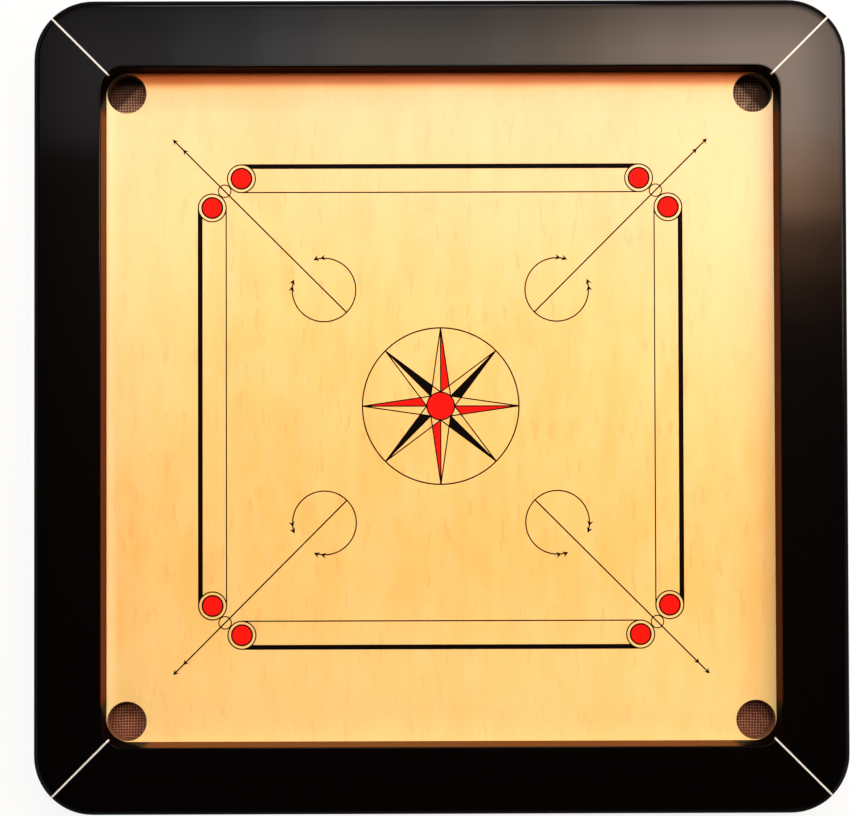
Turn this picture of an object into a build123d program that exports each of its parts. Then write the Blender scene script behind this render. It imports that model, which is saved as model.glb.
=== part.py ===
"""Tournament carrom board.

A square plywood playing panel lies against the lips of four mitred hardwood rails. Loose tongues lock the
mitres and white strips are let into their tops. Two battens, halved over each other, carry the panel from
below, and a mesh net hangs under the pocket hole in each corner. The board stands on the rails' undersides.

Millimetres. +Z is up, the origin is at the middle of the underside, and +Y points to the back rail.
"""
import os
from math import atan2, degrees, sqrt

from build123d import *

os.makedirs("parts", exist_ok=True)

# ---------------------------------------------------------------- driving dimensions

# Frame
playing_side = 740.0  # clear playing surface, from rail to rail
rail_width = 75.0  # one rail, seen from above
rail_height = 50.0  # underside to top
rail_rise = 22.0  # rail top above the playing surface
lip_width = 15.0  # how far a rail covers the panel's edge
outer_corner_radius = 65.0
inner_corner_radius = 25.0
outer_edge_round = 8.0  # top edge on the outside
inner_edge_round = 2.0  # top edge beside the playing surface
underside_edge_chamfer = 2.5

# Panel
panel_thickness = 12.0
panel_gap = 0.5  # play round the panel in the rebate
pocket_diameter = 43.0
pocket_edge_chamfer = 0.8  # softened rim of a pocket
pocket_web = 1.0  # panel left between a pocket and the rail's wall

# Mitre joints
inlay_width = 2.0
inlay_depth = 5.0
tongue_thickness = 6.0
tongue_width = 26.0  # across the mitre, half in each rail
tongue_cover = 9.0  # rail left beyond each end of a tongue
tongue_height = 11.0  # underside of the board to the underside of a tongue
tongue_gap = 0.1  # glue room round a tongue

# Battens
batten_width = 40.0
batten_lift = 1.0  # space under the battens, so that the board stands on its rails
batten_housing = 12.0  # how far a batten's end goes into a rail
batten_gap = 0.3  # play at a batten's sides and ends
batten_edge_chamfer = 2.0

# Nets, drawn with flats instead of round to keep them light
net_sides = 20
net_wall = 1.2
net_mouth_setback = 2.5  # net to the pocket's edge, at the mouth
net_side_gap = 1.5  # belly to the rail's rebate
net_floor_gap = 0.6  # bottom to the surface that the board stands on
net_slump = 6.0  # height of the widest part over the bottom
net_foot_inset = 5.5  # how far the bottom draws in from the widest part
hem_sides = 24
hem_width = 9.0
hem_thickness = 1.2
hem_setback = 0.8  # hem's inner edge to the pocket's edge

# Screws, drawn with flats instead of round to keep them light
screw_sides = 8
screw_diameter = 4.0
screw_head_diameter = 8.0
screw_gap = 0.1  # hole larger than shank, all round
panel_screw_length = 25.0
panel_screw_count = 4  # along each rail
panel_screw_inset = 85.0  # end screws to the playing surface's corner
batten_screw_length = 32.0
screw_tip_taper = 22.0  # degrees

# ---------------------------------------------------------------- sizes that follow

overall_side = playing_side + 2 * rail_width
rebate_side = playing_side + 2 * lip_width
panel_side = rebate_side - 2 * panel_gap
panel_top = rail_height - rail_rise
panel_bottom = panel_top - panel_thickness
pocket_radius = pocket_diameter / 2
pocket_offset = playing_side / 2 - pocket_web - pocket_radius

# Along the diagonal, from the middle of the board to each face that the mitre meets
mitre_inner = (playing_side / 2 - inner_corner_radius) * sqrt(2) + inner_corner_radius
mitre_rebate = rebate_side / 2 * sqrt(2)
mitre_outer = (overall_side / 2 - outer_corner_radius) * sqrt(2) + outer_corner_radius
mitre_middle = (mitre_inner + mitre_outer) / 2
mitre_length = mitre_outer - mitre_inner
tongue_middle = (mitre_rebate + mitre_outer) / 2
tongue_length = mitre_outer - mitre_rebate - 2 * tongue_cover

batten_depth = panel_bottom - batten_lift
batten_length = rebate_side + 2 * batten_housing
panel_screw_line = (playing_side + panel_side) / 4
panel_screw_pitch = (playing_side - 2 * panel_screw_inset) / (panel_screw_count - 1)
batten_screw_line = (rebate_side + batten_housing) / 2

hem_inner = pocket_radius + hem_setback
hem_outer = hem_inner + hem_width
net_top = panel_bottom - hem_thickness
net_mouth = pocket_radius + net_mouth_setback + net_wall
net_belly = rebate_side / 2 - pocket_offset - net_side_gap
net_shoulder = net_top - net_floor_gap - net_slump
net_shoulder_taper = degrees(atan2(net_belly - net_mouth, net_shoulder))
net_foot_taper = degrees(atan2(net_foot_inset, net_slump))

sides = {"front": 0, "right": 90, "back": 180, "left": 270}
corners = {
    "front_left": (-pocket_offset, -pocket_offset),
    "front_right": (pocket_offset, -pocket_offset),
    "back_right": (pocket_offset, pocket_offset),
    "back_left": (-pocket_offset, pocket_offset),
}
corner_angles = {"back_right": 45, "back_left": 135, "front_left": 225, "front_right": 315}


def keep(builder, name):
    """Label a finished piece and write it to its own file."""
    builder.part.label = name
    export_step(builder.part, f"parts/{name}.step")


# ---------------------------------------------------------------- screws

def four_ways(places):
    """The same places seen from each of the four rails."""
    return places + [(-y, x) for x, y in places] + [(-x, -y) for x, y in places] + [(y, -x) for x, y in places]


panel_screw_run = [(i - (panel_screw_count - 1) / 2) * panel_screw_pitch for i in range(panel_screw_count)]
panel_screw_places = four_ways([(x, -panel_screw_line) for x in panel_screw_run])
batten_screw_places = four_ways([(0, -batten_screw_line)])


def screw_shape(length, gap=0.0):
    """Countersunk wood screw pointing up, its head's face at the origin. With a gap it is the hole for one."""
    head_radius = screw_head_diameter / 2 + gap
    shank_radius = screw_diameter / 2 + gap
    head_depth = head_radius - shank_radius
    tip_depth = screw_diameter
    with BuildPart(mode=Mode.PRIVATE) as screw:
        with BuildSketch():
            RegularPolygon(head_radius, screw_sides, major_radius=False)
        extrude(amount=head_depth, taper=45)
        with BuildSketch():
            RegularPolygon(shank_radius, screw_sides, major_radius=False)
        extrude(amount=length - tip_depth)
        with BuildSketch(Plane.XY.offset(length - tip_depth)):
            RegularPolygon(shank_radius, screw_sides, major_radius=False)
        extrude(amount=tip_depth + gap, taper=screw_tip_taper)
    return screw.part


def screw_set(length, height, places, gap=0.0):
    """One screw, or its hole, at each place, with its head's face at that height."""
    with BuildPart(mode=Mode.PRIVATE) as screws:
        with Locations(*[(x, y, height) for x, y in places]):
            add(screw_shape(length, gap))
    return screws.part


panel_screw_holes = screw_set(panel_screw_length, panel_bottom, panel_screw_places, screw_gap)
batten_screw_holes = screw_set(batten_screw_length, batten_lift, batten_screw_places, screw_gap)

# ---------------------------------------------------------------- frame

# The four rails as one blank, before any groove is cut: rounded corners and worked edges
with BuildPart() as frame_blank:
    with BuildSketch():
        RectangleRounded(overall_side, overall_side, outer_corner_radius)
        RectangleRounded(playing_side, playing_side, inner_corner_radius, mode=Mode.SUBTRACT)
    extrude(amount=rail_height)
    top_face = faces().filter_by(Plane.XY).sort_by(Axis.Z)[-1]
    fillet(top_face.outer_wire().edges(), outer_edge_round)
    top_face = faces().filter_by(Plane.XY).sort_by(Axis.Z)[-1]
    fillet(top_face.inner_wires()[0].edges(), inner_edge_round)
    bottom_face = faces().filter_by(Plane.XY).sort_by(Axis.Z)[0]
    chamfer(bottom_face.outer_wire().edges(), underside_edge_chamfer)
    with BuildSketch():
        Rectangle(rebate_side, rebate_side)
    extrude(amount=panel_top, mode=Mode.SUBTRACT)

# The same frame with its inlay grooves, tongue slots, batten housings and pilot holes
with BuildPart() as frame_grooved:
    add(frame_blank.part)
    with BuildSketch(Plane.XY.offset(rail_height)):
        with PolarLocations(mitre_middle, 4, start_angle=45):
            Rectangle(2 * mitre_length, inlay_width)
    extrude(amount=-inlay_depth, mode=Mode.SUBTRACT)
    with BuildSketch(Plane.XY.offset(tongue_height - tongue_gap)):
        with PolarLocations(tongue_middle, 4, start_angle=45):
            Rectangle(tongue_length + 2 * tongue_gap, tongue_width + 2 * tongue_gap)
    extrude(amount=tongue_thickness + 2 * tongue_gap, mode=Mode.SUBTRACT)
    with BuildSketch():
        Rectangle(batten_length + 2 * batten_gap, batten_width + 2 * batten_gap)
        Rectangle(batten_width + 2 * batten_gap, batten_length + 2 * batten_gap)
    extrude(amount=panel_bottom, mode=Mode.SUBTRACT)
    add(panel_screw_holes, mode=Mode.SUBTRACT)
    add(batten_screw_holes, mode=Mode.SUBTRACT)

# Each rail is the frame between two mitre cuts
for side, turn in sides.items():
    with BuildPart() as rail:
        add(frame_grooved.part)
        with BuildSketch(Plane.XY.rotated((0, 0, turn))):
            with BuildLine():
                Polyline((0, 0), (-overall_side, -overall_side), (overall_side, -overall_side), close=True)
            make_face()
        extrude(amount=rail_height, mode=Mode.INTERSECT)
    keep(rail, f"rail_{side}")

for corner, angle in corner_angles.items():
    # White strip: fills its groove and follows the rails' worked edges
    with BuildPart() as mitre_inlay:
        add(frame_blank.part)
        with BuildSketch(Plane.XY.offset(rail_height)):
            with PolarLocations(mitre_middle, 1, start_angle=angle):
                Rectangle(2 * mitre_length, inlay_width)
        extrude(amount=-inlay_depth, mode=Mode.INTERSECT)
    keep(mitre_inlay, f"mitre_inlay_{corner}")

    # Loose tongue, hidden inside the joint
    with BuildPart() as mitre_tongue:
        with BuildSketch(Plane.XY.offset(tongue_height)):
            with PolarLocations(tongue_middle, 1, start_angle=angle):
                Rectangle(tongue_length, tongue_width)
        extrude(amount=tongue_thickness)
    keep(mitre_tongue, f"mitre_tongue_{corner}")

# ---------------------------------------------------------------- playing panel

with BuildPart() as playing_surface:
    with BuildSketch(Plane.XY.offset(panel_bottom)):
        Rectangle(panel_side, panel_side)
        with Locations(*corners.values()):
            Circle(pocket_radius, mode=Mode.SUBTRACT)
    extrude(amount=panel_thickness)
    pocket_rims = edges().filter_by(GeomType.CIRCLE).group_by(Axis.Z)[-1]
    chamfer(pocket_rims, pocket_edge_chamfer)
    add(panel_screw_holes, mode=Mode.SUBTRACT)
keep(playing_surface, "playing_surface")

# ---------------------------------------------------------------- battens

# One batten runs left to right and has its top half cut away at the crossing, the other runs front to back
# and has its lower half cut away
for name, turn, notch_height in (("lower", 0, batten_lift + batten_depth / 2), ("upper", 90, 0)):
    with BuildPart() as batten:
        with BuildSketch(Plane.XY.offset(batten_lift).rotated((0, 0, turn))):
            Rectangle(batten_length, batten_width)
        extrude(amount=batten_depth)
        bottom_face = faces().sort_by(Axis.Z)[0]
        chamfer(bottom_face.edges().sort_by(SortBy.LENGTH)[-2:], batten_edge_chamfer)
        with BuildSketch(Plane.XY.offset(notch_height).rotated((0, 0, turn))):
            Rectangle(batten_width + 2 * batten_gap, batten_width)
        extrude(amount=batten_lift + batten_depth / 2, mode=Mode.SUBTRACT)
        add(batten_screw_holes, mode=Mode.SUBTRACT)
    keep(batten, f"cross_batten_{name}")

# ---------------------------------------------------------------- nets

for corner, (x, y) in corners.items():
    # Pouch: from its slumped belly it draws in upwards to the mouth and downwards to a flat bottom
    with BuildPart() as net:
        for height, taper in ((net_shoulder, net_shoulder_taper), (-net_slump, net_foot_taper)):
            with BuildSketch(Plane(origin=(x, y, net_floor_gap + net_slump))):
                RegularPolygon(net_belly, net_sides, major_radius=False, rotation=180 / net_sides)
            extrude(amount=height, taper=taper)
        offset(amount=-net_wall, openings=faces().sort_by(Axis.Z)[-1], kind=Kind.INTERSECTION)
    keep(net, f"net_{corner}")

    # Webbing hem between the net's mouth and the panel
    with BuildPart() as net_hem:
        with BuildSketch(Plane(origin=(x, y, net_top))):
            RegularPolygon(hem_outer, hem_sides)
            RegularPolygon(hem_inner, hem_sides, mode=Mode.SUBTRACT)
        extrude(amount=hem_thickness)
    keep(net_hem, f"net_hem_{corner}")

# ---------------------------------------------------------------- screws in place

with BuildPart() as panel_screws:
    add(screw_set(panel_screw_length, panel_bottom, panel_screw_places))
keep(panel_screws, "panel_screws")

with BuildPart() as batten_screws:
    add(screw_set(batten_screw_length, batten_lift, batten_screw_places))
keep(batten_screws, "batten_screws")
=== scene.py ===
# %% [markdown]
# # A carrom board
#
# A carrom board is a square of fine birch plywood in a frame of four dark, lacquered rails, with
# a printed pattern and a net under each corner pocket. The rails, their white inlays, the
# tongues and the battens come from the CAD model, which everything here is built around. This
# lesson adds the finishes, the panel with its pockets, the print, the nets with their hems, the
# screws and the lights, and it works in metres like the CAD model.

# %% Load the CAD model
from math import asin, atan2, cos, hypot, pi, radians, sin, sqrt

import bpy
from mathutils import Euler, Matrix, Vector, noise


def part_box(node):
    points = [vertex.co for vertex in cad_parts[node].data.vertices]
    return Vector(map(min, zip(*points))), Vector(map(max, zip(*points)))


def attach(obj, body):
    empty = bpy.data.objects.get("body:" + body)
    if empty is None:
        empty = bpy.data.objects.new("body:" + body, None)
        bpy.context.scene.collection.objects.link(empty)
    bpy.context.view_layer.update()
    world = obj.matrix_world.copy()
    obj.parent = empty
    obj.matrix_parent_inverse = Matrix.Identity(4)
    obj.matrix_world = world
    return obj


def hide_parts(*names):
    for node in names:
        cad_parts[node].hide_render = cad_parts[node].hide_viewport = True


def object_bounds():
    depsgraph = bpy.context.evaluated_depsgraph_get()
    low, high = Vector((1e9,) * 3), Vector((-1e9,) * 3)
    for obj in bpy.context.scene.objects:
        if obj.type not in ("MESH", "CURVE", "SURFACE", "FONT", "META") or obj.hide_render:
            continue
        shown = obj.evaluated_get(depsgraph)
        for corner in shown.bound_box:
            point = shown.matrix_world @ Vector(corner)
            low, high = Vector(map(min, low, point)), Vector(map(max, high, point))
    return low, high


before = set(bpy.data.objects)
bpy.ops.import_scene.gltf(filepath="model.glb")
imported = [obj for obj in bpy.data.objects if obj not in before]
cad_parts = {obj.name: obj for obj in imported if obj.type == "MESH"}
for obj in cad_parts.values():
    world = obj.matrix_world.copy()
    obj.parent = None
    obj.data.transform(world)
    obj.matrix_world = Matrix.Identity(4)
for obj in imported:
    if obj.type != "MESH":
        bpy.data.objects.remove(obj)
cad_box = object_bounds()
scene = bpy.context.scene
print("the CAD model has", len(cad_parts), "nodes")

# %% [markdown]
# ## The board's own sizes
#
# Places are read from the CAD nodes, so that a new piece lies exactly where the model has room
# for it. The playing field is what the rails leave free. A pocket touches two sides of the
# field, and its centre is the middle of its net's hem.

# %% Read the sizes from the nodes
MM = 0.001

panel_low, panel_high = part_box("playing_surface")
rail_width = 75 * MM
board_half = cad_box[1].x
field_half = board_half - rail_width
panel_top = panel_high.z
panel_underside = panel_low.z
pocket_radius = 21.5 * MM
pocket_at = field_half - pocket_radius

CORNERS = ["front_left", "front_right", "back_right", "back_left"]
pocket_centres = []
for corner in CORNERS:
    hem_low, hem_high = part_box("net_hem_" + corner)
    pocket_centres.append((hem_low + hem_high) / 2)
hem_underside = hem_low.z

print("field half width", round(field_half, 4), "m, panel top at", round(panel_top, 4), "m")

# %% [markdown]
# ## The camera
#
# The board is seen from straight above, from 1.3 m, about as far as a person standing over it.
# A perspective camera shows a little of the rails' inner walls, as the eye does. It is made
# the scene's camera.

# %% Set up the camera
camera_data = bpy.data.cameras.new("camera_above")
camera_data.lens = 48.7
camera = bpy.data.objects.new("camera_above", camera_data)
camera.location = (-0.0191, -0.0151, 1.3016)
camera.rotation_euler = (radians(0.582), radians(-0.074), radians(-0.160))
scene.collection.objects.link(camera)
scene.camera = camera
scene.view_settings.view_transform = "Standard"
print("camera at", tuple(round(c, 3) for c in camera.location))

# %% [markdown]
# ## Shader maths in Python
#
# A material is a graph of nodes. Wiring each Math node by hand is slow, so one small class wraps
# a node's output socket, and its operators add the Math nodes: with it, 1 - mask * 0.5 is a
# line of Python and also two nodes.

# %% A socket that takes part in arithmetic


class Link:
    """An output socket in a node graph, which works in sums and products like a number."""

    def __init__(self, graph, socket):
        self.graph = graph
        self.socket = socket

    def __add__(self, other):
        return self.graph.maths("ADD", self, other)

    def __sub__(self, other):
        return self.graph.maths("SUBTRACT", self, other)

    def __rsub__(self, other):
        return self.graph.maths("SUBTRACT", other, self)

    def __mul__(self, other):
        return self.graph.maths("MULTIPLY", self, other)

    def __abs__(self):
        return self.graph.maths("ABSOLUTE", self)

    def __gt__(self, other):
        return self.graph.maths("GREATER_THAN", self, other)

    def __lt__(self, other):
        return self.graph.maths("LESS_THAN", self, other)

    def also(self, name):
        """Another output of the same node."""
        return Link(self.graph, self.socket.node.outputs[name])

    __radd__ = __add__
    __rmul__ = __mul__


# %% [markdown]
# ## A graph and a finish
#
# Every node comes from one method, which takes the node's kind, its settings, and the values or
# links of its sockets. A finish is a graph that ends in Blender's Principled shader. What is the
# same all over a surface is set on that shader, and only what changes over it is linked.

# %% A graph of nodes


class Graph:
    """The nodes of a material or a world, added one by one."""

    def __init__(self, owner):
        owner.use_nodes = True
        self.tree = owner.node_tree
        self.tree.nodes.clear()

    def node(self, kind, settings, sockets, out=0):
        new = self.tree.nodes.new("ShaderNode" + kind)
        for name, value in settings.items():
            setattr(new, name, value)
        for name, value in sockets.items():
            if isinstance(value, Link):
                self.tree.links.new(value.socket, new.inputs[name])
            else:
                new.inputs[name].default_value = value
        return Link(self, new.outputs[out]) if new.outputs else None

    def maths(self, operation, *values):
        return self.node("Math", {"operation": operation}, dict(enumerate(values)))

    def mix(self, factor, first, second):
        """Two colours, the second laid over the first."""
        settings = {"data_type": "RGBA", "clamp_result": True}
        return self.node("Mix", settings, {0: factor, 6: first, 7: second}, 2)

    def fade(self, value, start, end):
        """0 where value is below start, 1 above end, and smooth between them."""
        sockets = {"Value": value, "From Min": start, "From Max": end}
        return self.node("MapRange", {"interpolation_type": "SMOOTHSTEP"}, sockets)


# %% A finish


class Finish(Graph):
    """A material with a Principled shader."""

    def __init__(self, name, **uniform):
        self.material = bpy.data.materials.new(name)
        super().__init__(self.material)
        values = {
            key.replace("_", " ").title().replace("Ior", "IOR"): value
            for key, value in uniform.items()
        }
        self.shader = self.node("BsdfPrincipled", {}, values)
        self.node("OutputMaterial", {}, {"Surface": self.shader})
        self.place = self.node("TexCoord", {}, {}, "Object")
        self.x = self.node("SeparateXYZ", {}, {0: self.place})
        self.y = self.x.also("Y")
        self.z = self.x.also("Z")

    def feed(self, name, link):
        self.tree.links.new(link.socket, self.shader.socket.node.inputs[name])

    def surface(self, colour, roughness, height, depth, strength=1.0):
        """Feeds what varies, and raises the surface by up to depth metres where height is 1."""
        self.feed("Base Color", colour)
        self.feed("Roughness", roughness)
        sockets = {"Height": height, "Distance": depth, "Strength": strength}
        self.feed("Normal", self.node("Bump", {}, sockets, "Normal"))
        return self.material

    def bands(self, direction, scale, distortion=0.4, detail=2.0):
        """Soft stripes, one after another along X, along Y or on the diagonal."""
        sockets = {"Scale": scale, "Distortion": distortion, "Detail": detail}
        settings = {"wave_type": "BANDS", "bands_direction": direction}
        return self.node("TexWave", settings, {"Vector": self.place, **sockets}, "Fac")

    def grain(self, scale, stretch=(1, 1, 1), detail=2.0):
        """Soft noise from 0 to 1, drawn out where stretch is small."""
        spread = self.node("Mapping", {}, {"Vector": self.place, "Scale": stretch})
        return self.node("TexNoise", {}, {"Vector": spread, "Scale": scale, "Detail": detail})

    def rounded(self, straight):
        """The distance from a square of this half width, which is round about its corners."""
        beyond_x = self.maths("MAXIMUM", abs(self.x) - straight, 0.0)
        beyond_y = self.maths("MAXIMUM", abs(self.y) - straight, 0.0)
        return self.maths("SQRT", beyond_x * beyond_x + beyond_y * beyond_y)


def shade(red, green, blue):
    """A colour as it looks on a screen, 0 to 255, made linear for the shader."""
    parts = [c / 255 for c in (red, green, blue)]
    linear = [c / 12.92 if c <= 0.04045 else ((c + 0.055) / 1.055) ** 2.4 for c in parts]
    return (*linear, 1.0)


print("birch yellow in linear numbers:", [round(c, 3) for c in shade(250, 218, 138)])

# %% [markdown]
# ## The floor and the backdrop
#
# The board lies on a pale studio floor that curves up into a wall all round, so that no view
# shows a horizon. It is a circle whose edge is extruded upwards, and the fold is bevelled round.
# For rays from the camera, from gloss and through glass the floor also glows a little, which
# lifts it to white, and the rest still takes the board's shadow. Under the board the paper has
# a painted shade, so that the holes of the nets look dark from above.

# %% Helpers for working as by hand


def start_fresh():
    """Leaves nothing selected, because an operator acts on all that is."""
    if bpy.context.mode != "OBJECT":
        bpy.ops.object.mode_set(mode="OBJECT")
    bpy.ops.object.select_all(action="DESELECT")


def take(piece):
    """Selects one piece and nothing else."""
    start_fresh()
    piece.select_set(True)
    bpy.context.view_layer.objects.active = piece


def pick(piece, kind, test):
    """In edit mode, selects the vertices, edges or faces whose corners all pass the test."""
    modes = {"vertices": "VERT", "edges": "EDGE", "polygons": "FACE"}
    bpy.ops.object.mode_set(mode="EDIT")
    bpy.ops.mesh.select_all(action="DESELECT")
    bpy.ops.mesh.select_mode(type=modes[kind])
    bpy.ops.object.mode_set(mode="OBJECT")
    mesh = piece.data
    for part in getattr(mesh, kind):
        corners = [part.index] if kind == "vertices" else part.vertices
        part.select = all(test(mesh.vertices[i].co) for i in corners)
    bpy.ops.object.mode_set(mode="EDIT")


def settle(piece, name):
    """Names the piece and puts its place into its mesh, so that its object is at the origin."""
    take(piece)
    bpy.ops.object.transform_apply(location=True, rotation=True, scale=True)
    piece.name = name
    piece.data.name = name
    return piece


def modify(piece, kind, **settings):
    """Adds a modifier and applies it at once."""
    take(piece)
    modifier = piece.modifiers.new(kind, kind)
    for name, value in settings.items():
        setattr(modifier, name, value)
    bpy.ops.object.modifier_apply(modifier=modifier.name)


# %% Make the floor and its curved wall
wall_radius = 4.5
wall_height = 3.4
cove_radius = 1.2

start_fresh()
bpy.ops.mesh.primitive_circle_add(vertices=96, radius=wall_radius, fill_type="NGON")
floor = bpy.context.object
bpy.ops.object.mode_set(mode="EDIT")
bpy.ops.mesh.select_mode(type="EDGE")
bpy.ops.mesh.select_all(action="DESELECT")
bpy.ops.mesh.select_non_manifold()
bpy.ops.mesh.extrude_edges_move(TRANSFORM_OT_translate={"value": (0, 0, wall_height)})
pick(floor, "edges", lambda co: co.z < 0.01 and hypot(co.x, co.y) > wall_radius - 0.01)
bpy.ops.mesh.bevel(offset=cove_radius, segments=12, affect="EDGES")
bpy.ops.object.mode_set(mode="OBJECT")
settle(floor, "studio_floor")
bpy.ops.object.shade_smooth()
print("floor and wall:", len(floor.data.polygons), "faces")

# %% Paper for the floor
paper_glow = 0.86
# The colour of the painted shade that lies on the paper under the board
painted_shade_under_board = (0.05, 0.025, 0.018, 1.0)
dark_half = board_half - 80 * MM
dark_radius = 60 * MM

paper = Finish("studio_paper", roughness=0.9, specular_ior_level=0.2)
pulp = paper.grain(3.0, detail=1.0)
pale = paper.mix(pulp, (0.80, 0.80, 0.79, 1.0), (0.84, 0.84, 0.83, 1.0))
away = paper.rounded(dark_half) > dark_radius
# Where the board stands, the paper gets the painted shade instead of its pale colour
paper.feed("Base Color", paper.mix(away, painted_shade_under_board, pale))
rays = paper.node("LightPath", {}, {}, "Is Camera Ray")
unseen = (rays + rays.also("Is Glossy Ray") + rays.also("Is Transmission Ray")) < 0.5
glow = (1 - unseen) * away
white = paper.node("Emission", {}, {"Color": (1.0, 1.0, 1.0, 1.0), "Strength": 1.0})
lifted = paper.node("MixShader", {}, {0: glow * paper_glow, 1: paper.shader, 2: white})
output = [n for n in paper.tree.nodes if n.type == "OUTPUT_MATERIAL"][0]
paper.tree.links.new(lifted.socket, output.inputs["Surface"])
floor.data.materials.append(paper.material)
print("the paper has", len(paper.tree.nodes), "nodes")

# %% [markdown]
# ## The lights
#
# A glossy black frame is a mirror, so its look is made by what hangs over it. A lamp as large
# as a window lights the board and is caught by its back right corner. Beside it hangs a curtain
# of weak strips, each a little brighter or warmer than the next, and the back rail mirrors them
# as one soft gradient from grey to a warm shine. They don't overlap, because a mirror shows the
# nearest lamp alone. Three more lamps fill the shadows, and the world is almost dark.

# %% Hang the lamps


def hang_lamp(name, place, power, width, height, colour, aim=None):
    """A soft rectangular lamp that points down, or at aim."""
    light = bpy.data.lights.new(name, "AREA")
    light.shape = "RECTANGLE"
    light.size = width
    light.size_y = height
    light.energy = power
    light.color = colour
    lamp = bpy.data.objects.new(name, light)
    lamp.location = place
    if aim:
        way = Vector(aim) - Vector(place)
        lamp.rotation_euler = way.to_track_quat("-Z", "Y").to_euler()
    lamp.visible_camera = False
    scene.collection.objects.link(lamp)


middle = (0, 0, 0)
lamp_height = 3.6
hang_lamp("window_lamp", (2.14, 2.18, lamp_height), 78.0, 1.92, 2.04, (1.0, 0.75, 0.60))
hang_lamp("side_lamp", (3.00, 1.10, 3.00), 38.0, 1.60, 1.60, (1.0, 0.84, 0.70), middle)
hang_lamp("back_lamp", (-0.20, 2.60, lamp_height), 94.0, 2.30, 0.80, (0.97, 0.99, 1.0), middle)
hang_lamp("overhead_lamp", (-0.05, 0.9, lamp_height), 42.0, 1.60, 0.60, (1.0, 0.90, 0.79), middle)

# %% Hang the curtain of strips
# A strip's name, its left, right, near and far sides in metres, brightness and colour
curtain = (
    ("grey_left", -1.85, -1.05, 1.14, 1.87, 0.33, (1.0, 0.94, 0.97)),
    ("grey", -1.05, -0.70, 1.37, 1.87, 0.60, (1.0, 0.99, 1.0)),
    ("grey_right", -0.70, -0.42, 1.37, 1.87, 1.05, (1.0, 0.98, 0.99)),
    ("pale", -0.42, 0.25, 1.37, 1.87, 1.65, (1.0, 0.86, 0.74)),
    ("pale_right", 0.25, 0.55, 1.37, 1.87, 2.30, (1.0, 0.80, 0.64)),
    ("warm", 0.55, 0.72, 1.37, 1.87, 3.20, (1.0, 0.72, 0.53)),
    ("warm_right", 0.72, 0.89, 1.37, 1.87, 4.50, (1.0, 0.73, 0.55)),
    ("warm_edge", 0.89, 1.18, 1.37, 1.87, 5.60, (1.0, 0.74, 0.58)),
    ("amber_bright", 1.18, 2.08, 1.00, 1.16, 5.60, (1.0, 0.62, 0.42)),
    ("amber", 1.18, 2.08, 0.83, 1.00, 4.20, (1.0, 0.55, 0.33)),
    ("amber_dim", 1.18, 2.08, 0.60, 0.83, 0.95, (1.0, 0.47, 0.24)),
    ("amber_last", 1.18, 2.08, 0.42, 0.60, 0.24, (1.0, 0.45, 0.20)),
)
for name, left, right, near, far, brightness, colour in curtain:
    place = ((left + right) / 2, (near + far) / 2, lamp_height)
    width, height = right - left, far - near
    power = brightness * pi * width * height
    hang_lamp("curtain_" + name, place, power, width, height, colour)
print("strips in the curtain:", len(curtain))

# %% Darken the world
world = bpy.data.worlds.new("studio_dusk")
scene.world = world
dusk = Graph(world)
sky = dusk.node("Background", {}, {"Color": (1.0, 0.97, 0.94, 1.0), "Strength": 0.012})
dusk.node("OutputWorld", {}, {"Surface": sky})
print("the world is", world.name)

# %% [markdown]
# ## The rails' lacquer
#
# The rails are hardwood under many coats of black-brown lacquer. It is nearly a mirror, but
# long strokes and the wood's pores leave it faintly uneven, so broad soft noise gives the
# orange peel and long thin noise the grain below it. The inner walls got fewer coats, and their
# brown is partly the stain showing through and partly a painted reflection of the lit field,
# with painted light at the left back and the front. It fades out towards the pockets as a
# painted reflection of the dark holes, and at the back and right as painted shade. Each pair of
# rails runs its own way, so the finish is made with the grain along X and along Y.

# %% Stain, painted reflection and painted shade on the rails' inner walls
outer_radius = 65 * MM
inner_radius = 25 * MM
rail_top = 50 * MM


def wall_stain_and_reflection(lacquer, figure, top):
    """Stain and a painted reflection, with painted light at the left back and front, black again
    at the top edge.
    """
    stain_and_reflection = lacquer.mix(figure, shade(114, 57, 28), shade(94, 44, 20))
    paler_painted_light = lacquer.fade(lacquer.y, 0.0, 0.3) * (lacquer.x < 0.0)
    paler_painted_light = paler_painted_light + (lacquer.y < 1 * MM - field_half)
    stain_and_reflection = lacquer.mix(paler_painted_light * 0.8, stain_and_reflection, shade(114, 72, 35))
    return lacquer.mix(lacquer.fade(lacquer.z, rail_top - 1.6 * MM, rail_top), stain_and_reflection, top)


def wall_stain_and_shade_mask(lacquer, from_field):
    """1 on the inner walls, to 0 by the pockets, weaker at the back and right: painted reflection
    and shade.
    """
    normal = lacquer.node("NewGeometry", {}, {}, "Normal")
    level = lacquer.node("SeparateXYZ", {}, {0: normal}, "Z")
    from_corner = field_half - lacquer.maths("MINIMUM", abs(lacquer.x), abs(lacquer.y))
    wall = (level < 0.93) * (from_field < 3 * MM) * lacquer.fade(from_corner, 40 * MM, 52 * MM)
    band = (field_half - 24 * MM, field_half - 4 * MM)
    wall = wall * (1 - lacquer.fade(lacquer.y, *band) * 0.97)
    return wall * (1 - lacquer.fade(lacquer.x, *band) * 0.35)


print("the stain ends", rail_top, "m up")

# %% Lacquer for the rails


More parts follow.
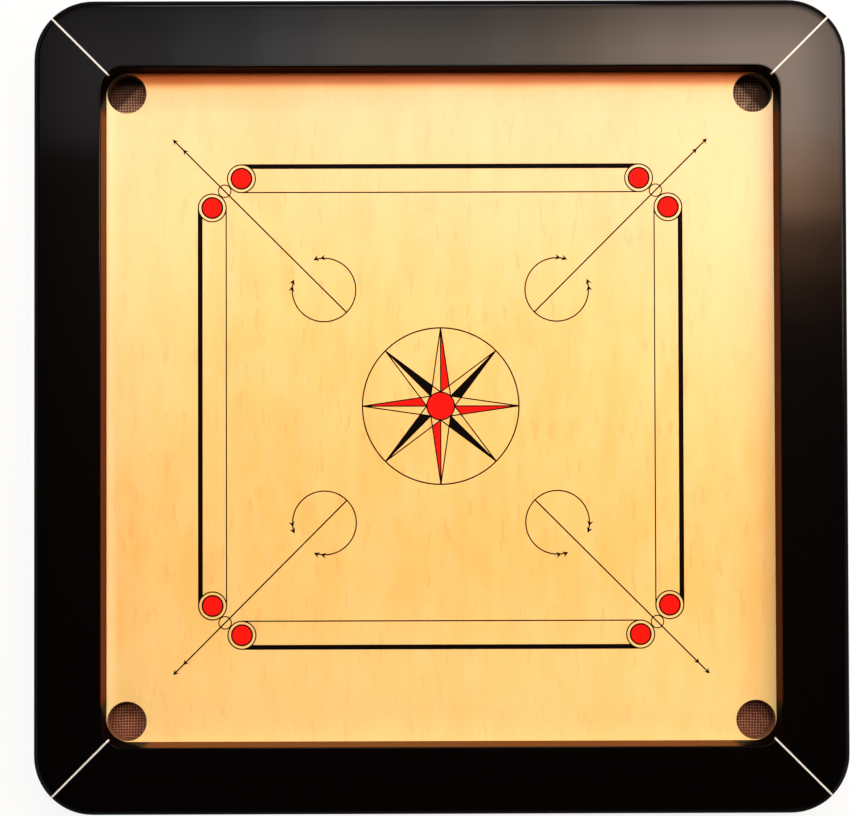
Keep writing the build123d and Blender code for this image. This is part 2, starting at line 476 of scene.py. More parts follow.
def rail_lacquer(name, along_x):
    stretch = (0.04, 1, 1) if along_x else (1, 0.04, 1)
    dull_rim = (5 * MM, 14 * MM) if along_x else (3 * MM, 11 * MM)
    lacquer = Finish(
        name, roughness=0.3, specular_ior_level=0.02, coat_roughness=0.1, coat_ior=1.5
    )
    fibres = lacquer.grain(420.0, stretch, 3.0)
    figure = lacquer.grain(45.0, stretch)
    from_rim = outer_radius - lacquer.rounded(board_half - outer_radius)
    from_field = lacquer.rounded(field_half - inner_radius) - inner_radius
    # Besides the stain, the walls' brown carries a painted reflection of the field and painted
    # shade
    wall = wall_stain_and_shade_mask(lacquer, from_field)
    top = lacquer.mix(figure, (0.0006, 0.0002, 0.0002, 1.0), (0.0014, 0.0004, 0.0004, 1.0))
    colour = lacquer.mix(wall, top, wall_stain_and_reflection(lacquer, figure, top))
    polish = lacquer.fade(from_rim, *dull_rim) * lacquer.fade(from_field, 1 * MM, 4 * MM)
    crown = lacquer.fade(from_rim, 5 * MM, 65 * MM) * 0.42 + 0.55
    lacquer.feed("Coat Weight", polish * crown + 0.02)
    roughness = lacquer.grain(90.0) * 0.12 + 0.36 + wall * 0.4
    relief = lacquer.grain(260.0, detail=1.0) * 0.7 + fibres * 0.3
    return lacquer.surface(colour, roughness, relief, 0.00006, 0.35)


def dress(node, material):
    """Gives a CAD node a finish: every one of its material slots gets it."""
    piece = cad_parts[node]
    if not piece.material_slots:
        piece.data.materials.append(material)
    for place in piece.material_slots:
        place.material = material


for side, along_x in (("front", True), ("back", True), ("left", False), ("right", False)):
    dress("rail_" + side, rail_lacquer("rail_lacquer_" + side, along_x))
print("lacquered 4 rails")

# %% [markdown]
# ## White inlays, tongues and battens
#
# A strip of white plastic is let into each mitre. It is smooth and a little yellowed, and it
# has picked up fine scratches. The tongues inside the joints and the battens under the panel
# are plain wood, with the grain along each piece.

# %% Plastic for the inlays
plastic = Finish(
    "inlay_plastic",
    roughness=0.3, subsurface_weight=0.05, subsurface_radius=(0.002, 0.0015, 0.001),
)
yellowing = plastic.mix(plastic.grain(60.0), shade(224, 222, 217), shade(211, 208, 199))
scratches = plastic.grain(900.0, (1, 0.1, 1))
plastic.surface(yellowing, scratches * 0.2 + 0.2, scratches, 0.00003, 0.3)
for corner in CORNERS:
    dress("mitre_inlay_" + corner, plastic.material)
print("finished 4 inlays")

# %% Bare wood for the tongues and battens


def bare_wood(name, light, dark, along_x):
    """Sawn and sanded wood, with its grain along X or along Y."""
    stretch = (0.05, 1, 1) if along_x else (1, 0.05, 1)
    wood = Finish(name, roughness=0.7, specular_ior_level=0.3)
    rings = wood.mix(wood.grain(66.0, stretch, 2.0), light, dark)
    fibres = wood.grain(660.0, stretch, 3.0)
    colour = wood.mix(fibres * 0.5, rings, dark)
    return wood.surface(colour, fibres * 0.25 + 0.55, fibres, 0.0002, 0.4)


batten_tones = (shade(214, 178, 128), shade(176, 132, 84))
tongue_tones = (shade(205, 170, 120), shade(170, 128, 82))
dress("cross_batten_lower", bare_wood("batten_wood_lower", *batten_tones, True))
dress("cross_batten_upper", bare_wood("batten_wood_upper", *batten_tones, False))
for corner in CORNERS:
    dress("mitre_tongue_" + corner, bare_wood("tongue_wood_" + corner, *tongue_tones, True))
print("finished 4 tongues and 2 battens")

# %% [markdown]
# ## The plywood panel
#
# The playing panel is 12 mm birch plywood. A plain box is cut by a cylinder at each pocket and
# by a cone at each screw with a Boolean modifier, and the sharp rims are bevelled, because real
# ones are sanded so that the striker and the men drop in cleanly.

# %% Saw the panel and cut its pockets
pocket_sides = 128
drill_length = 40 * MM


def cut(piece, cutter):
    """Takes the cutter's shape out of the piece, then puts the cutter away."""
    modify(piece, "BOOLEAN", object=cutter, solver="EXACT")
    bpy.data.objects.remove(cutter)


start_fresh()
bpy.ops.mesh.primitive_cube_add(size=1, location=(panel_low + panel_high) / 2)
panel = bpy.context.object
panel.scale = panel_high - panel_low
settle(panel, "playing_panel")
for centre in pocket_centres:
    start_fresh()
    bpy.ops.mesh.primitive_cylinder_add(
        vertices=pocket_sides, radius=pocket_radius, depth=drill_length,
        location=(centre.x, centre.y, panel_top),
    )
    cut(panel, bpy.context.object)
print("the panel has", len(panel.data.polygons), "faces")

# %% Countersink the panel for its screws
screw_head_radius = 4 * MM
sink_radius = 4.4 * MM
sink_end_radius = 2.1 * MM
sink_depth = 2.3 * MM
sink_middle = 1.05 * MM

screw_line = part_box("panel_screws")[1].x - screw_head_radius
screw_runs = [-285 * MM, -95 * MM, 95 * MM, 285 * MM]
panel_screw_places = [
    place
    for run in screw_runs
    for side in (-screw_line, screw_line)
    for place in ((run, side, panel_underside), (side, run, panel_underside))
]
for x, y, z in panel_screw_places:
    start_fresh()
    bpy.ops.mesh.primitive_cone_add(
        vertices=32, radius1=sink_radius, radius2=sink_end_radius, depth=sink_depth,
        location=(x, y, z + sink_middle),
    )
    cut(panel, bpy.context.object)
print("countersunk", len(panel_screw_places), "holes")

# %% Sand the panel's edges
rim_width = 0.75 * MM

modify(
    panel, "BEVEL", width=rim_width, segments=3, limit_method="ANGLE",
    angle_limit=radians(40), use_clamp_overlap=False,
)
bpy.ops.object.shade_smooth_by_angle(angle=radians(35))
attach(panel, "root")
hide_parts("playing_surface")
print("panel:", len(panel.data.polygons), "faces")

# %% [markdown]
# ## The panel's finish
#
# Birch is pale and close grained. Its face shows faint long fibres, a soft mottled figure,
# cloudy patches, warmer streaks and a few short dark flecks, under a satin lacquer. Light is
# painted on it too: a paler painted sheen towards the back and its corners, painted light at the
# front and by the left rail, and the back rail's painted shadow in orange along that rail. The
# walls of the pockets show the plies edge on, as light and dark stripes, and the underside is
# left bare. The three parts are told apart by their height.

# %% Grains of the birch, and where light and shade are painted on it
birch = Finish("birch_panel", ior=1.45, coat_weight=0.25, coat_roughness=0.45, coat_ior=1.45)
mottle = birch.grain(14.0, (1, 0.45, 1), 2.0)
grain_lines = birch.grain(260.0, (1, 0.03, 1), 3.0)
fibres = birch.grain(900.0, (1, 0.05, 1), 2.0)
flecks = birch.grain(700.0, (1, 0.12, 1), 1.0) > 0.70
figure = birch.fade(birch.grain(34.0, (1, 0.22, 1), 3.0), 0.35, 0.65)
clouds = birch.fade(birch.grain(48.0, (1, 0.4, 1), 3.0), 0.40, 0.66)
streaks = birch.fade(birch.grain(110.0, (1, 0.22, 1), 2.0), 0.60, 0.70)

# Masks for painted sheen, painted light and the back rail's painted shadow
sideways = abs(birch.x) + mottle * 0.06
at_back = birch.fade(birch.y + birch.x * 0.2, 0.05, 0.40)
back_corners_painted_sheen = birch.fade(sideways, 0.20, 0.39) * birch.fade(birch.y, -0.25, 0.2)
front_painted_light = birch.fade(0 - birch.y, 0.14, 0.36)
rail_side = field_half - 2 * MM
left_rail_painted_light = birch.fade(0 - birch.x, field_half - 14 * MM, rail_side)
back_rail_painted_shade = birch.fade(birch.y, field_half - 30 * MM, field_half - 8 * MM)
back_rail_painted_shadow = birch.fade(birch.y + mottle * 4 * MM, field_half - 19 * MM, rail_side)
print("7 grains, and 6 places where the tone drifts")

# %% Lay the birch's tones over one another
face_layers = (
    (figure * 0.65, shade(247, 184, 92)),
    (clouds * 0.40, shade(251, 207, 138)),
    (streaks * 0.4, shade(236, 160, 78)),
    (grain_lines * 0.35, shade(246, 192, 103)),
    # Painted sheen towards the back and its corners, and painted light at the front
    (at_back * 0.45, shade(254, 203, 170)),
    (back_corners_painted_sheen * 0.35, shade(254, 226, 170)),
    (front_painted_light * 0.42, shade(254, 226, 155)),
    (flecks * 0.14, shade(196, 136, 70)),
    # Painted light by the left rail, and the back rail's painted shadow in two bands
    (left_rail_painted_light * 0.45, shade(255, 236, 180)),
    (back_rail_painted_shade * 0.4, shade(250, 190, 84)),
    (back_rail_painted_shadow * 0.95, shade(238, 108, 14)),
)
face = birch.mix(mottle, shade(253, 202, 118), shade(249, 194, 107))
for cover, tone in face_layers:
    face = birch.mix(cover, face, tone)
print("the face has", len(face_layers), "layers of tone")

# %% Plies, bare underside and the whole panel
ply_wave = pi / (1.33 * MM)
skin = 0.15 * MM

plies = birch.maths("SINE", birch.z * ply_wave) > 0.0
edge = birch.mix(plies * 0.7, shade(150, 100, 60), shade(104, 62, 38))
edge = birch.mix(fibres * 0.3, edge, shade(84, 50, 32))
# Painted shade: the ply edges of the back pockets are darkened
edge = birch.mix(birch.fade(birch.y, 0.0, 0.1) * 0.85, edge, shade(24, 12, 8))
bare = birch.mix(grain_lines, shade(226, 190, 134), shade(204, 160, 104))
on_face = birch.z > panel_top - skin
on_underside = birch.z < panel_underside + skin
colour = birch.mix(on_underside, birch.mix(on_face, edge, face), bare)
roughness = 0.62 - on_face * 0.14 + mottle * 0.06
birch.surface(colour, roughness, grain_lines * 0.6 + fibres * 0.4, 0.00005, 0.25)
panel.data.materials.append(birch.material)
print("the birch has", len(birch.tree.nodes), "nodes")

# %% [markdown]
# ## The print
#
# The pattern is screen printed: a coat of ink less than a fifth of a millimetre thick. Each
# shape is a real, closed piece of that thickness. A polygon primitive gets its corners moved
# into place, a ring is a circle whose edge is extruded and scaled, and Solidify thickens both.
# Shapes that cross differ a little in thickness, so that no two faces lie in one plane. A
# quarter of the board is modelled and turned to the other three.

# %% Helpers for copies


def copy_of(piece, name, turn, place=(0, 0, 0)):
    """A copy with its own mesh, turned about the upright and moved."""
    copy = piece.copy()
    copy.data = piece.data.copy()
    scene.collection.objects.link(copy)
    copy.rotation_euler[2] = turn
    copy.location = place
    return settle(copy, name)


def turned_copies(piece, names):
    """The piece and copies of it, each a quarter further round the board's centre."""
    copies = [settle(piece, names[0])]
    for quarter, name in enumerate(names[1:], start=1):
        copies.append(copy_of(piece, name, quarter * pi / 2))
    return copies


def join(pieces, name):
    """Makes several pieces one object."""
    take(pieces[0])
    for piece in pieces:
        piece.select_set(True)
    bpy.ops.object.join()
    return settle(pieces[0], name)


# %% Helpers for printed shapes
ink_film = 0.06 * MM
ink_layer = 0.02 * MM


def thicken(shape, layer):
    """Gives a flat shape its coat of ink, on top of that many layers."""
    modify(shape, "SOLIDIFY", thickness=ink_film + layer * ink_layer, offset=1.0)
    return shape


def printed_polygon(corners, layer):
    """A shape with these corners, anticlockwise: a circle's corners are carried to them."""
    start_fresh()
    bpy.ops.mesh.primitive_circle_add(
        vertices=len(corners), radius=MM, fill_type="NGON", location=(0, 0, panel_top)
    )
    shape = settle(bpy.context.object, "ink")
    bpy.ops.object.mode_set(mode="EDIT")
    bpy.ops.mesh.select_mode(type="VERT")
    for index, corner in zip(list(shape.data.polygons[0].vertices), corners):
        bpy.ops.mesh.select_all(action="DESELECT")
        bpy.ops.object.mode_set(mode="OBJECT")
        vertex = shape.data.vertices[index]
        vertex.select = True
        way = (corner[0] - vertex.co.x, corner[1] - vertex.co.y, 0)
        bpy.ops.object.mode_set(mode="EDIT")
        bpy.ops.transform.translate(value=way)
    start_fresh()
    return thicken(shape, layer)


def printed_line(start, end, width, layer):
    """A straight line of ink: a plane as long and as wide, turned to lie on it."""
    start, end = Vector(start), Vector(end)
    middle, run = (start + end) / 2, end - start
    start_fresh()
    bpy.ops.mesh.primitive_plane_add(
        size=1, location=(middle.x, middle.y, panel_top), rotation=(0, 0, atan2(run.y, run.x))
    )
    bpy.context.object.scale = (run.length, width, 1)
    return thicken(settle(bpy.context.object, "ink"), layer)


def printed_disc(centre, radius, layer):
    """A full disc of ink."""
    start_fresh()
    bpy.ops.mesh.primitive_circle_add(
        vertices=96, radius=radius, fill_type="NGON", location=(*centre, panel_top)
    )
    return thicken(settle(bpy.context.object, "ink"), layer)


# %% Helpers for rings


def flat_ring(place, inner, outer, sides, name):
    """A flat ring, left in edit mode: a circle whose edge is extruded and scaled."""
    start_fresh()
    bpy.ops.mesh.primitive_circle_add(vertices=sides, radius=inner, location=place)
    ring = settle(bpy.context.object, name)
    bpy.ops.object.mode_set(mode="EDIT")
    bpy.ops.mesh.select_all(action="SELECT")
    bpy.ops.mesh.extrude_edges_move()
    grow = outer / inner
    bpy.ops.transform.resize(value=(grow, grow, 1), center_override=place)
    bpy.ops.mesh.select_all(action="SELECT")
    bpy.ops.mesh.normals_make_consistent(inside=False)
    return ring


def printed_ring(centre, radius, width, layer, sides=96, keep=None):
    """A ring of ink with this outer radius, or the part of it that keep chooses."""
    ring = flat_ring((*centre, panel_top), radius - width, radius, sides, "ink")
    if keep:
        pick(ring, "polygons", lambda co: not keep(co))
        bpy.ops.mesh.delete(type="FACE")
    start_fresh()
    return thicken(ring, layer)


def finish_print(pieces, name, material):
    """Turns a quarter's shapes to the four sides and makes them one piece of print."""
    quarter = join(pieces, name)
    whole = join(turned_copies(quarter, [name] * 4), name)
    whole.data.materials.append(material)
    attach(whole, "root")
    print(name, "has", len(whole.data.polygons), "faces")


# %% [markdown]
# ## Two inks
#
# Screen ink dries to a soft satin and isn't quite even: it is thinner where the squeegee
# pressed harder, so a little of the wood's colour comes through in a fine mottle.

# %% Black and red ink


def ink(name, full, thin, roughness):
    paint = Finish(name, specular_ior_level=0.03)
    cover = paint.grain(300.0, detail=3.0)
    colour = paint.mix(cover * 0.5, full, thin)
    uneven = cover * 0.2 + (roughness - 0.1)
    return paint.surface(colour, uneven, paint.grain(1500.0), 0.00002, 0.3)


ink_black = ink("ink_black", shade(5, 2, 1), shade(14, 8, 4), 0.6)
ink_red = ink("ink_red", shade(240, 20, 12), shade(226, 32, 22), 0.55)
print("mixed", ink_black.name, "and", ink_red.name)

# %% [markdown]
# ## Base lines and base circles
#
# Each player has a thick and a thin line with a red base circle at both ends. The thick line
# touches the circles on the outside, and its ends follow their curve. The thin line touches
# them on the inside, and a small ring sits in the corner between two neighbouring circles.

# %% Print the base lines
base_edge = 268.9 * MM
base_line_width = 5.3 * MM
thin_line_width = 1.35 * MM
circle_radius = 16.1 * MM
circle_along = 220.4 * MM
circle_across = base_edge - circle_radius
inner_line = circle_across - circle_radius + thin_line_width / 2

bite_depths = [0.02 * MM, 0.5 * MM, 1.2 * MM, 2.1 * MM, 3.4 * MM, base_line_width]
bites = [sqrt(circle_radius**2 - (circle_radius - depth) ** 2) for depth in bite_depths]
line_end = [(circle_along - bite, depth - base_edge) for bite, depth in zip(bites, bite_depths)]
line_corners = line_end + [(-along, across) for along, across in reversed(line_end)]
line_pieces = [
    printed_polygon(line_corners, 1),
    printed_line((-circle_along, -inner_line), (circle_along, -inner_line), thin_line_width, 1),
]
finish_print(line_pieces, "print_base_lines", ink_black)

# %% Print the base circles
disc_radius = 12.2 * MM
disc_line = 1.7 * MM
corner_place = (239.0 * MM, -239.0 * MM)
corner_radius = 7.5 * MM
corner_line = 1.2 * MM

circle_places = [(-circle_along, -circle_across), (circle_along, -circle_across)]
circle_rings = [
    printed_ring(place, radius, width, 2)
    for radius, width in ((circle_radius, thin_line_width), (disc_radius, disc_line))
    for place in circle_places
]
circle_rings.append(printed_ring(corner_place, corner_radius, corner_line, 3, 48))
finish_print(circle_rings, "print_base_circles", ink_black)
finish_print(
    [printed_disc(place, disc_radius, 1) for place in circle_places],
    "print_base_discs", ink_red,
)

# %% [markdown]
# ## The corner arrows and arcs
#
# A thin diagonal arrow points at each pocket, with a second head just behind the first, and
# passes through a small ring. It starts on a wide open arc, which ends in two arrows of its
# own. Each head is a kite with a notched back.

# %% Print the arrows
notch_share = 0.68
arrow_line = 1.5 * MM
arrow_start = 146.8 * MM
arrow_end = 416 * MM
arrow_tips = (419.4 * MM, 403.6 * MM)
arrow_head = (5.9 * MM, 6.3 * MM)


def printed_head(tip, angle, size, layer):
    """An arrow head that points along angle. Its size is its length and width."""
    length, width = size
    ahead = Vector((cos(angle), sin(angle)))
    beside = Vector((-ahead.y, ahead.x))
    tip = Vector(tip)
    back = tip - ahead * length
    notch = tip - ahead * (length * notch_share)
    corners = [tip, back + beside * width / 2, notch, back - beside * width / 2]
    return printed_polygon(corners, layer)


diagonal = Vector((1, 1)).normalized()
arrow_parts = [printed_line(diagonal * arrow_start, diagonal * arrow_end, arrow_line, 4)]
for tip in arrow_tips:
    arrow_parts.append(printed_head(diagonal * tip, pi / 4, arrow_head, 5))
finish_print(arrow_parts, "print_arrows", ink_black)

# %% Print the arcs
arc_centre = Vector((129.0, 129.0)) * MM
arc_radius = 35.9 * MM
arc_line = 1.4 * MM
arc_open = radians(28)
arc_turns = (radians(25.5), radians(37.5))
arc_head = (6.3 * MM, 6.8 * MM)
head_chord = 4.4 * MM
head_lean = asin(head_chord / arc_radius) / 2


def off_axis(co):
    """How far round a place lies from the way that the arc opens."""
    return Vector((co.x - arc_centre.x, co.y - arc_centre.y)).angle(diagonal)


def on_arc(angle):
    """A place in the middle of the arc's line."""
    return arc_centre + Vector((cos(angle), sin(angle))) * (arc_radius - arc_line / 2)


arc_parts = [
    printed_ring(
        arc_centre, arc_radius, arc_line, 1, 180, keep=lambda co: off_axis(co) > arc_open
    )
]
for side in (-1, 1):
    for turn in arc_turns:
        at = pi / 4 + side * turn
        along = at - side * (pi / 2 + head_lean)
        arc_parts.append(printed_head(on_arc(at), along, arc_head, 2))
finish_print(arc_parts, "print_arcs", ink_black)

# %% [markdown]
# ## The star
#
# Eight points stand round a red centre disc, inside a thin ring. Each point is a long kite of
# two halves, one filled and one only outlined, red on the straight axes and black on the
# diagonals. Its sides run in to the disc where the neighbouring points' own middle lines start,
# so a filled half ends where the next point's side crosses it.

# %% Measure the star
ring_radius = 87.4 * MM
disc_edge = 16.0 * MM
tuck = 0.5 * MM
tip_radius = ring_radius - tuck
foot_radius = disc_edge - tuck


def spoke(turn, radius):
    """A place on the star, turn eighths clockwise from the top."""
    angle = pi / 2 - turn * pi / 4
    return Vector((cos(angle), sin(angle))) * radius


tip, foot = spoke(0, tip_radius), spoke(1, disc_edge)
run = foot - tip
crossing = tip + run * (tip.y * sin(pi / 8) / (run.x * cos(pi / 8) - run.y * sin(pi / 8)))
print("a filled half ends", round(crossing.length, 4), "m from the centre")

# %% Print the star
star_line = 1.35 * MM

outlines = []
fills = {"red": [], "black": []}
for turn, colour_name in ((0, "red"), (1, "black")):
    tip = spoke(turn, tip_radius)
    half = [spoke(turn, foot_radius), spoke(turn + 0.5, crossing.length), tip]
    fills[colour_name].append(printed_polygon(half, 1))
    for end in (turn - 1, turn, turn + 1):
        layer = 2 + end - turn
        outlines.append(printed_line(tip, spoke(end, foot_radius), star_line, layer))
finish_print(fills["red"], "print_star_red", ink_red)
finish_print(fills["black"], "print_star_black", ink_black)
finish_print(outlines, "print_star_outlines", ink_black)

# %% Print the star's rings and disc
centre_pieces = [
    printed_ring((0, 0), ring_radius, 1.5 * MM, 4, 180),
    printed_ring((0, 0), disc_edge, 1.4 * MM, 5),
]
centre_rings = join(centre_pieces, "print_centre_rings")
centre_rings.data.materials.append(ink_black)
centre_disc = settle(printed_disc((0, 0), disc_edge - 0.4 * MM, 4), "print_centre_disc")
centre_disc.data.materials.append(ink_red)
for piece, slot in ((centre_rings, "ink_black"), (centre_disc, "ink_red")):
    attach(piece, "root")
    print(piece.name, "has", len(piece.data.polygons), "faces")

# %% [markdown]
# ## The pocket nets
#
# A round piece of coarse brown net is gathered into each pocket's mouth, so that it hangs under
# the panel as a shallow pouch and lies slack on the ground. The weave stays square in the
# middle and is crowded at the mouth. A grid has the threads of such a net as its edges. It is
# cut round, each crossing is carried to its place on the pouch's outline, and the Wireframe
# modifier turns the edges into threads. The slack is smooth noise and one low fold.

# %% The pouch's outline
# The pouch's radius and height in millimetres, from its middle to its mouth
net_outline = [
    (0.0, 1.5), (22.0, 1.5), (28.0, 2.0), (32.6, 4.2),
    (34.6, 7.0), (33.0, 9.8), (28.6, 12.4), (24.6, 14.1),
]
outline_parts = list(zip(net_outline, net_outline[1:]))
outline_steps = [hypot(b[0] - a[0], b[1] - a[1]) for a, b in outline_parts]
net_reach = sum(outline_steps) * MM


def on_outline(run):
    """The radius and height on the pouch at this length of net from its middle, in metres."""
    run = run / MM
    for (start, end), step in zip(outline_parts, outline_steps):
        if run <= step or end == net_outline[-1]:
            share = min(run / step, 1.0)
            return tuple((a + (b - a) * share) * MM for a, b in zip(start, end))
        run -= step


print("a net is cut", round(2 * net_reach, 3), "m across")

# %% Lay the slack
slack = 0.9 * MM
slack_rise = 1.4 * MM
slack_waves = 55.0
tight_rim = 12 * MM
fold_height = 3.0 * MM
fold_at = 5 * MM
fold_half_width = 4.5 * MM

# Without a seed, this noise is different each time that Blender starts
noise.seed_set(7)


def slack_at(place, centre, run, fold_side):
    """How far the net drifts and rises here, which is not at all at its mouth."""
    free = min(1.0, (net_reach - run) / tight_rim)
    spot = (place + centre) * slack_waves
    drift = noise.noise_vector(spot) * slack * free
    rise = max(0.0, noise.noise(spot * 1.6 + Vector((7, 3, 1)))) * slack_rise * free
    off_fold = abs(place.xy.dot(fold_side) - fold_at) / fold_half_width
    rise += fold_height * max(0.0, 1 - off_fold) ** 2 * free
    return drift, rise


print("the net's fold is", fold_height, "m high")

# %% Weave the nets
thread = 1.3 * MM
mesh_pitch = 3.2 * MM
threads_across = round(2 * net_reach / mesh_pitch)


def hang_net(corner, centre, fold_turn):
    start_fresh()
    bpy.ops.mesh.primitive_grid_add(
        x_subdivisions=threads_across, y_subdivisions=threads_across, size=2 * net_reach
    )
    net = bpy.context.object
    pick(net, "vertices", lambda co: hypot(co.x, co.y) > net_reach + mesh_pitch * 0.3)
    bpy.ops.mesh.delete(type="VERT")
    bpy.ops.object.mode_set(mode="OBJECT")
    fold_side = Vector((cos(fold_turn), sin(fold_turn)))
    for vertex in net.data.vertices:
        flat = vertex.co.xy
        run = flat.length
        if run > net_reach - mesh_pitch * 0.5:
            run = net_reach
        radius, height = on_outline(run)
        drift, rise = slack_at(vertex.co, centre, run, fold_side)
        ahead = flat.normalized() if flat.length else Vector((0, 0))
        vertex.co = (
            centre.x + ahead.x * radius + drift.x,
            centre.y + ahead.y * radius + drift.y,
            height + rise,
        )
    modify(net, "WIREFRAME", thickness=thread, use_boundary=True, use_even_offset=True)
    settle(net, "pocket_net_" + corner)
    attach(net, "root")
    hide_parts("net_" + corner)
    print(net.name, "has", len(net.data.polygons), "faces")
    return net


nets = [
    hang_net(corner, centre, fold_turn)
    for corner, centre, fold_turn in zip(CORNERS, pocket_centres, (2.2, 0.6, 2.4, 1.0))
]

# %% [markdown]
# ## The net's thread
#
# The net is knitted from brown twisted cotton. Fine diagonal ridges stand for the twist, the
# tone wanders along the thread, and the fuzz scatters light, which is what the shader's sheen
# does. The two nets at the back are paler with painted light, and darker with painted shade
# along a fold and in the rails' painted shadow towards the corners.

# %% Brown cotton thread
cotton = Finish("net_cotton", specular_ior_level=0.1, sheen_weight=0.05, sheen_roughness=0.5)
tone = cotton.grain(160.0, detail=3.0)
twist = cotton.bands("DIAGONAL", 420.0, 3.0, 1.0)
at_back = cotton.y > 0.0
at_right = cotton.x > 0.0
outward = abs(cotton.x)
across_fold = outward * 0.795 - cotton.y * 0.607
# Painted shade on the back nets: along a fold on the right one, and the rails' shadow near the
# corners
fold_painted_shade = cotton.fade(across_fold, 69 * MM, 73 * MM) * at_right
rails_painted_shadow = cotton.fade(outward + cotton.y, 2 * pocket_at + 1 * MM, 2 * pocket_at + 8 * MM)

brown = cotton.mix(tone, shade(208, 138, 106), shade(160, 96, 70))
for cover, other in (
    # Painted light: the back nets are paler, the right one most
    (at_back * (at_right * 0.5 + 0.5), shade(255, 212, 178)),
    (twist * 0.35, shade(104, 54, 36)),
    (fold_painted_shade * at_back * 0.45, shade(74, 36, 26)),
    (rails_painted_shadow * at_back * 0.7, shade(60, 28, 20)),
):
    brown = cotton.mix(cover, brown, other)
cotton.surface(brown, tone * 0.2 + 0.72, twist, 0.0003, 0.6)
for net in nets:
    net.data.materials.append(cotton.material)
print("the cotton has", len(cotton.tree.nodes), "nodes")

# %% [markdown]
# ## The hems
#
# The net's mouth is sewn to a ring of flat webbing, which is tacked to the panel. The ring is a
# circle extruded outwards, with thickness from Solidify and soft edges from Bevel. Two rows of
# stitches run round it: one stitch is made from a box, and the rest are its copies. A hem is
# made for one pocket and turned to the other three.

# %% Cut the webbing
hem_inner = 22.4 * MM
hem_outer = 31.1 * MM
hem_thickness = 1.05 * MM
first = pocket_centres[0]
hem_place = (first.x, first.y, hem_underside + 0.05 * MM)

hem = flat_ring(hem_place, hem_inner, hem_outer, 96, "hem_webbing")
modify(hem, "SOLIDIFY", thickness=hem_thickness, offset=1.0)
modify(hem, "BEVEL", width=0.3 * MM, segments=2, limit_method="ANGLE", angle_limit=radians(40))
print("the webbing has", len(hem.data.polygons), "faces")

# %% Sew the hems
stitch_size = (2.0 * MM, 0.55 * MM, 0.5 * MM)
stitch_rows = ((23.9 * MM, 48), (29.5 * MM, 60))


def ring_of(part, centre, count, name):
    """Copies of a small part all round a pocket, made one piece."""
    copies = [part]
    for step in range(1, count):
        turn = 2 * pi * step / count
        swing = Vector((-centre.x, -centre.y, 0))
        swing.rotate(Euler((0, 0, turn)))
        copies.append(copy_of(part, name, turn, Vector((centre.x, centre.y, 0)) + swing))
    return join(copies, name)


rows = []
for radius, count in stitch_rows:
    start_fresh()
    place = (first.x + radius, first.y, hem_underside)
    bpy.ops.mesh.primitive_cube_add(size=1, location=place, rotation=(0, 0, pi / 2))
    stitch = bpy.context.object
    stitch.scale = stitch_size
    settle(stitch, "stitch")
    modify(stitch, "BEVEL", width=0.2 * MM, segments=1)
    rows.append(ring_of(stitch, first, count, "hem_stitches"))
stitches = join(rows, "hem_stitches")
print("the stitches have", len(stitches.data.polygons), "faces")

# %% [markdown]
# ## Tacks
#
# Six domed upholstery tacks hold each hem. A tack's head is the lower half of a flattened
# sphere: a sphere is squashed, cut through its middle with Bisect, and the cut is filled.

# %% Drive the tacks
tack_radius = 2.2 * MM
tack_height = 0.8 * MM
tack_ring = 27.6 * MM
tack_count = 6

start_fresh()
tack_place = (first.x + tack_ring, first.y, hem_underside)
bpy.ops.mesh.primitive_uv_sphere_add(
    segments=20, ring_count=12, radius=tack_radius, location=tack_place
)
tack = bpy.context.object
tack.scale.z = tack_height / tack_radius
settle(tack, "tack")
bpy.ops.object.mode_set(mode="EDIT")
bpy.ops.mesh.select_all(action="SELECT")
bpy.ops.mesh.bisect(plane_co=tack_place, plane_no=(0, 0, 1), use_fill=True, clear_outer=True)
bpy.ops.object.mode_set(mode="OBJECT")
bpy.ops.object.shade_smooth_by_angle(angle=radians(40))
tacks = ring_of(tack, first, tack_count, "hem_tacks")
print("the tacks have", len(tacks.data.polygons), "faces")

# %% [markdown]
# ## Webbing, thread and tack steel
#
# Webbing has a fine basket weave, which two crossed waves make, and the stitches are a waxed
# thread a little paler than the webbing. The tacks are blued steel with rubbed crowns.

# %% Finish the webbing and its thread
webbing = Finish("hem_webbing", specular_ior_level=0.2, sheen_weight=0.2)
weave = webbing.bands("X", 260.0) * 0.5 + webbing.bands("Y", 260.0) * 0.5
wear = webbing.grain(90.0)
cloth = webbing.mix(weave, shade(58, 30, 22), shade(112, 66, 50))
cloth = webbing.mix(wear * 0.4, cloth, shade(86, 58, 44))
webbing.surface(cloth, wear * 0.15 + 0.75, weave, 0.0003, 0.7)

waxed = Finish("hem_thread", specular_ior_level=0.4)
strands = waxed.bands("DIAGONAL", 500.0)
wax = waxed.mix(strands, shade(176, 140, 100), shade(126, 92, 62))
waxed.surface(wax, strands * 0.2 + 0.5, strands, 0.0001, 0.5)
print("made", webbing.material.name, "and", waxed.material.name)

# %% Finish the tacks
blued = Finish("tack_steel", metallic=1.0)
rubbed = blued.grain(420.0, detail=3.0)
steel = blued.mix(rubbed, shade(92, 98, 110), shade(170, 172, 176))
blued.surface(steel, rubbed * 0.25 + 0.22, blued.grain(1800.0), 0.00003, 0.3)
print("made", blued.material.name)

# %% Turn the hem to all four pockets
hem_parts = {}
for piece, name, slot, finish in (
    (hem, "hem_webbing_", "hem_webbing", webbing),
    (stitches, "hem_stitches_", "hem_webbing", waxed),
    (tacks, "hem_tacks_", "tack_steel", blued),
):
    piece.data.materials.append(finish.material)
    hem_parts[name] = turned_copies(piece, [name + corner for corner in CORNERS])
    for copy in hem_parts[name]:
        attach(copy, "root")
    print(len(CORNERS), "of", name + "corner")
for ring, corner in zip(hem_parts["hem_webbing_"], CORNERS):
    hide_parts("net_hem_" + corner)

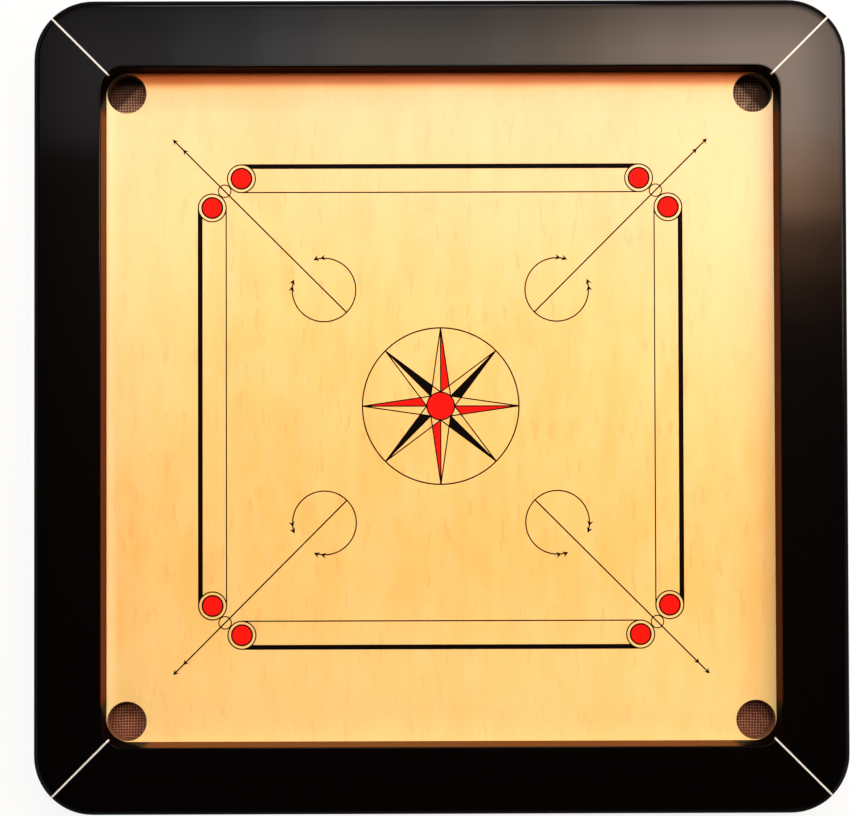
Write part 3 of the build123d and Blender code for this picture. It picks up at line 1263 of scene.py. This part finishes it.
# %% [markdown]
# ## What the nets are cut from
#
# To hang a net as cloth, one has to know its flat size, what holds it and what is sewn to it.
# It is cut round, so the flat size is the square about that circle, and the area its own.

# %% Print a line about the nets
print("declared", len(nets), "nets, each with its hem")

# %% [markdown]
# ## Screws
#
# Sixteen countersunk screws go up through the panel into the rails, and four through the
# battens. A screw starts as a cone for its head. The cone's small end is extruded into the
# shank and again into the point, and a cross is cut into the head with a Boolean modifier.

# %% Turn one screw
shank_radius = 2 * MM
head_depth = 2 * MM
tip_length = 4 * MM
recess_depth = 1.3 * MM
recess_length = 4.4 * MM
recess_width = 0.9 * MM


def turn_screw(length, name):
    """A countersunk screw that stands on its head at the origin."""
    start_fresh()
    bpy.ops.mesh.primitive_cone_add(
        vertices=32, radius1=screw_head_radius, radius2=shank_radius, depth=head_depth,
        location=(0, 0, head_depth / 2),
    )
    screw = settle(bpy.context.object, name)
    shank_length = length - head_depth - tip_length
    steps = ((shank_length, 1.0), (tip_length * 0.6, 0.6), (tip_length * 0.4, 0.15))
    height = head_depth
    for rise, narrowing in steps:
        pick(screw, "polygons", lambda co: co.z > height - 0.01 * MM)
        bpy.ops.mesh.extrude_region_move(TRANSFORM_OT_translate={"value": (0, 0, rise)})
        height += rise
        bpy.ops.transform.resize(value=(narrowing, narrowing, 1), center_override=(0, 0, height))
    bpy.ops.object.mode_set(mode="OBJECT")
    for turn in (0, pi / 2):
        start_fresh()
        bpy.ops.mesh.primitive_cube_add(size=1, rotation=(0, 0, turn))
        blade = bpy.context.object
        blade.scale = (recess_length, recess_width, recess_depth * 2)
        cut(screw, settle(blade, "blade"))
    return screw


# %% Drive the screws


def drive_screws(length, places, name, node):
    """A screw at each place, all one piece that stands for the CAD node."""
    model = turn_screw(length, name)
    copies = [copy_of(model, name, step * 0.7, place) for step, place in enumerate(places)]
    bpy.data.objects.remove(model)
    screws = join(copies, name)
    take(screws)
    bpy.ops.object.shade_smooth_by_angle(angle=radians(30))
    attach(screws, "root")
    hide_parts(node)
    print(name, "has", len(screws.data.polygons), "faces")
    return screws


batten_screw_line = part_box("batten_screws")[1].x - screw_head_radius
batten_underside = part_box("cross_batten_lower")[0].z
batten_screw_places = [
    (side * batten_screw_line * along, side * batten_screw_line * (1 - along), batten_underside)
    for side in (-1, 1)
    for along in (0, 1)
]
screw_sets = [
    drive_screws(25 * MM, panel_screw_places, "countersunk_panel_screws", "panel_screws"),
    drive_screws(32 * MM, batten_screw_places, "countersunk_batten_screws", "batten_screws"),
]

# %% [markdown]
# ## Zinc plate
#
# The screws are zinc plated and passivated, a pale straw colour with fine streaks from turning.

# %% Finish the screws
zinc = Finish("screw_steel", metallic=1.0)
turning = zinc.grain(600.0, (1, 1, 6), 2.0)
straw = zinc.mix(turning, shade(226, 218, 188), shade(184, 172, 132))
zinc.surface(straw, turning * 0.2 + 0.25, turning, 0.00003, 0.4)
for screws in screw_sets:
    screws.data.materials.append(zinc.material)
print("plated", len(screw_sets), "sets of screws")

# %% [markdown]
# ## Leave nothing selected
#
# The visual model has to stay inside the CAD model's box. Here nothing is left selected.

# %% Leave nothing selected
start_fresh()
